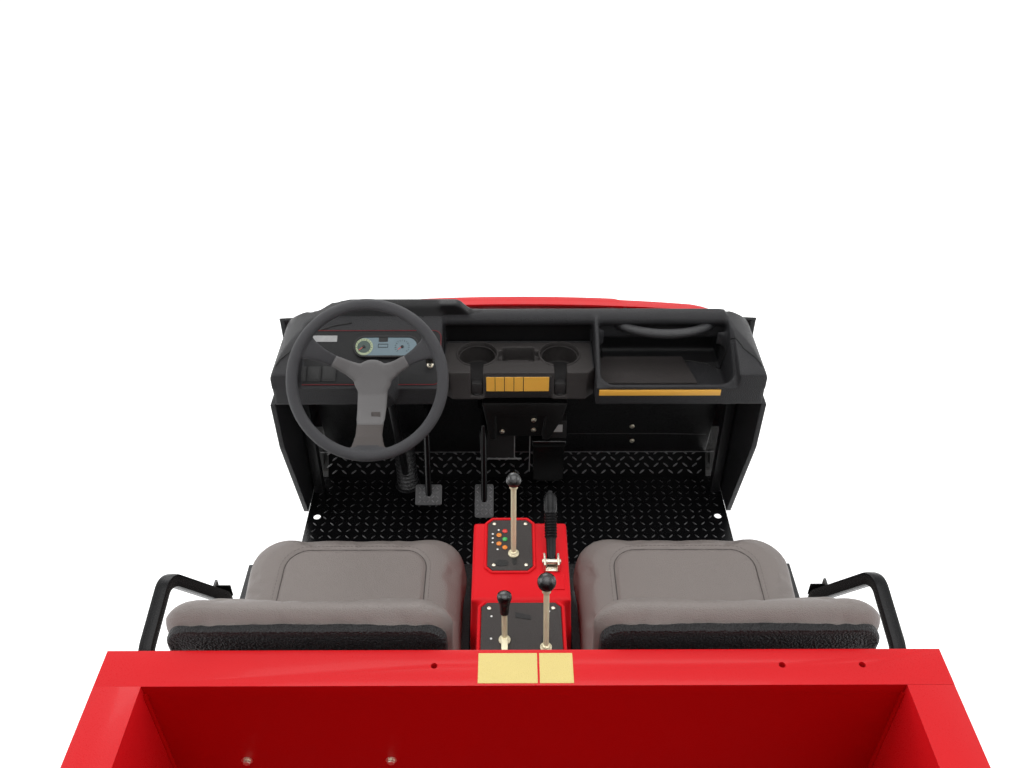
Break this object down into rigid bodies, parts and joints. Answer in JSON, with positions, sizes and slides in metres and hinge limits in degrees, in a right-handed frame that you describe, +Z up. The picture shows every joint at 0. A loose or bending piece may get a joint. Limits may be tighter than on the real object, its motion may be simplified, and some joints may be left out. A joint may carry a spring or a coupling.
{
  "type": "side by side utility vehicle",
  "caption": "Two-seat utility vehicle with a tipping cargo bed, drop tailgate, lifting hood and steered wheels.",
  "frame": {"origin": "on the floor under the middle of the overall length and width", "axes": "+Z up, -Y forward, +X to the driver's left"},
  "size_m": [1.6, 3.31, 1.2699],
  "materials": {
    "frame_black": "semi-gloss black paint",
    "floor_black": "gloss black tread plate",
    "body_red": "gloss red paint",
    "dash_plastic": "grained black moulding",
    "panel_plastic": "grained grey-brown moulding",
    "trim_plastic": "smooth black moulding",
    "gauge_plastic": "pale blue dial faces under a clear lens",
    "plate_black": "satin black plate",
    "seat_vinyl": "warm grey vinyl",
    "lever_zinc": "yellow zinc plated steel",
    "steel": "plain steel",
    "chrome_rod": "polished chrome",
    "engine_iron": "painted cast iron",
    "axle_iron": "black painted cast iron",
    "rim_steel": "pale painted steel",
    "tyre": "rubber",
    "wheel_plastic": "grained dark grey foam",
    "lamp_glass": "clear lens",
    "lamp_red": "red lens"
  },
  "bodies": {
    "chassis": {"frame_rails": "frame_black", "frame_crossmembers": "frame_black", "front_bumper": "frame_black", "floor_plate": "floor_black", "firewall": "frame_black", "dashboard": "dash_plastic", "cup_holder_panel": "panel_plastic", "instrument_cluster": "gauge_plastic", "grab_handle": "dash_plastic", "front_fenders": "dash_plastic", "hood_hinges": "steel", "front_grille": "dash_plastic", "headlamps": "lamp_glass", "seat_platform": "frame_black", "seat_cushion_left": "seat_vinyl", "seat_cushion_right": "seat_vinyl", "seat_back_left": "seat_vinyl", "seat_back_right": "seat_vinyl", "hip_rails": "frame_black", "belt_buckles": "trim_plastic", "centre_console": "body_red", "control_plates": "plate_black", "console_levers": "lever_zinc", "pedals": "frame_black", "steering_column": "trim_plastic", "engine_block": "engine_iron", "rear_axle": "axle_iron", "front_suspension": "frame_black", "fuel_tank": "trim_plastic", "muffler": "steel", "tail_lamps": "lamp_red", "rear_fenders": "dash_plastic"},
    "knuckle_left": {"knuckle_left": "axle_iron"},
    "knuckle_right": {"knuckle_right": "axle_iron"},
    "front_wheel_left": {"front_rim_left": "rim_steel", "front_tyre_left": "tyre"},
    "front_wheel_right": {"front_rim_right": "rim_steel", "front_tyre_right": "tyre"},
    "rear_wheel_left": {"rear_rim_left": "rim_steel", "rear_tyre_left": "tyre"},
    "rear_wheel_right": {"rear_rim_right": "rim_steel", "rear_tyre_right": "tyre"},
    "steering_wheel": {"steering_wheel": "wheel_plastic"},
    "tie_rod": {"tie_rod": "steel"},
    "hood": {"hood": "body_red"},
    "bed": {"bed_floor": "body_red", "bed_front_wall": "body_red", "bed_side_left": "body_red", "bed_side_right": "body_red"},
    "tailgate": {"tailgate": "body_red"},
    "lift_barrels": {"lift_barrels": "frame_black"},
    "lift_rods": {"lift_rods": "chrome_rod"}
  },
  "joints": [
    {"name": "steer_left", "type": "hinge", "parent": "chassis", "child": "knuckle_left", "pos_m": [0.465, -1.235, 0.254], "axis": [0, 0, 1], "range_deg": [-32, 32]},
    {"name": "steer_right", "type": "hinge", "parent": "chassis", "child": "knuckle_right", "pos_m": [-0.465, -1.235, 0.254], "axis": [0, 0, 1], "range_deg": [-32, 32]},
    {"name": "front_spin_left", "type": "hinge", "parent": "knuckle_left", "child": "front_wheel_left", "pos_m": [0.585, -1.235, 0.254], "axis": [1, 0, 0], "continuous": true},
    {"name": "front_spin_right", "type": "hinge", "parent": "knuckle_right", "child": "front_wheel_right", "pos_m": [-0.585, -1.235, 0.254], "axis": [1, 0, 0], "continuous": true},
    {"name": "rear_spin_left", "type": "hinge", "parent": "chassis", "child": "rear_wheel_left", "pos_m": [0.605, 0.545, 0.305], "axis": [1, 0, 0], "continuous": true},
    {"name": "rear_spin_right", "type": "hinge", "parent": "chassis", "child": "rear_wheel_right", "pos_m": [-0.605, 0.545, 0.305], "axis": [1, 0, 0], "continuous": true},
    {"name": "wheel_turn", "type": "hinge", "parent": "chassis", "child": "steering_wheel", "pos_m": [0.347, -0.47, 1.12], "axis": [0, 0.788, 0.6157], "range_deg": [-540, 540]},
    {"name": "tie_slide", "type": "slide", "parent": "chassis", "child": "tie_rod", "axis": [-1, 0, 0], "range_m": [-0.0452, 0.0452]},
    {"name": "hood_lift", "type": "hinge", "parent": "chassis", "child": "hood", "pos_m": [0, -0.852, 1.055], "axis": [-1, 0, 0], "range_deg": [0, 50]},
    {"name": "bed_tip", "type": "hinge", "parent": "chassis", "child": "bed", "pos_m": [0, 1.4, 0.69], "axis": [-1, 0, 0], "range_deg": [0, 45]},
    {"name": "tailgate_drop", "type": "hinge", "parent": "bed", "child": "tailgate", "pos_m": [0, 1.64, 0.803], "axis": [-1, 0, 0], "range_deg": [0, 90]},
    {"name": "lift_swing", "type": "hinge", "parent": "chassis", "child": "lift_barrels", "pos_m": [0, 1.28, 0.455], "axis": [-1, 0, 0], "range_deg": [0, 21.03]},
    {"name": "lift_extend", "type": "slide", "parent": "lift_barrels", "child": "lift_rods", "axis": [0, -0.4614, 0.8872], "range_m": [0, 0.14751]}
  ],
  "couplings": [
    {"joint": "steer_right", "follows": "steer_left", "ratio": 1},
    {"joint": "wheel_turn", "follows": "steer_left", "ratio": 16.875},
    {"joint": "tie_slide", "follows": "steer_left", "m_per_rad": 0.080649},
    {"joint": "lift_swing", "follows": "bed_tip", "ratio": 0.4672},
    {"joint": "lift_extend", "follows": "bed_tip", "m_per_rad": 0.18769}
  ]
}
